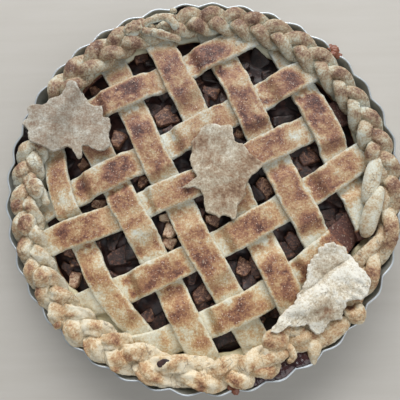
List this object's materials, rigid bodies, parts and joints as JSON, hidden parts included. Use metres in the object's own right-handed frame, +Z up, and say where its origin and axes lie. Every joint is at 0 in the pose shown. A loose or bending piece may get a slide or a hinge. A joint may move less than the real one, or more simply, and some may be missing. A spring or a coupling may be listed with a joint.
{
  "type": "lattice apple pie in a fluted tart tin",
  "caption": "Baked lattice apple pie with a woven top, a plaited pastry edge and maple-leaf cut-outs, in its own fluted round tart tin.",
  "frame": {"origin": "centre of the tin's underside", "axes": "+Z up; +X to the right and +Y to the top of the pie as seen from above"},
  "size_m": [0.2794, 0.2794, 0.0392],
  "materials": {
    "tinned_steel": "dull tinned steel, darkened by baking, with a bright rim",
    "shell_pastry": "matte pale baked pastry",
    "apple_filling": "wet dark apple filling with browned fruit pieces",
    "lattice_pastry": "sugared pastry, pale at the edges and browned on the crests",
    "plait_pastry": "flaky baked pastry, golden on the crests",
    "leaf_pastry": "matte pale pastry with brown specks"
  },
  "bodies": {
    "root": {"tin": "tinned_steel", "pastry_shell": "shell_pastry", "filling": "apple_filling", "strip_a_1": "lattice_pastry", "strip_a_2": "lattice_pastry", "strip_a_3": "lattice_pastry", "strip_a_4": "lattice_pastry", "strip_a_5": "lattice_pastry", "strip_a_6": "lattice_pastry", "strip_s_1": "lattice_pastry", "strip_s_2": "lattice_pastry", "strip_s_3": "lattice_pastry", "strip_s_4": "lattice_pastry", "strip_s_5": "lattice_pastry", "plait_a_strand_1": "plait_pastry", "plait_a_strand_2": "plait_pastry", "plait_a_strand_3": "plait_pastry", "plait_b_strand_1": "plait_pastry", "plait_b_strand_2": "plait_pastry", "plait_b_strand_3": "plait_pastry", "plait_b_knob": "plait_pastry", "leaf_1": "leaf_pastry", "leaf_2": "leaf_pastry", "leaf_3": "leaf_pastry"}
  },
  "joints": []
}
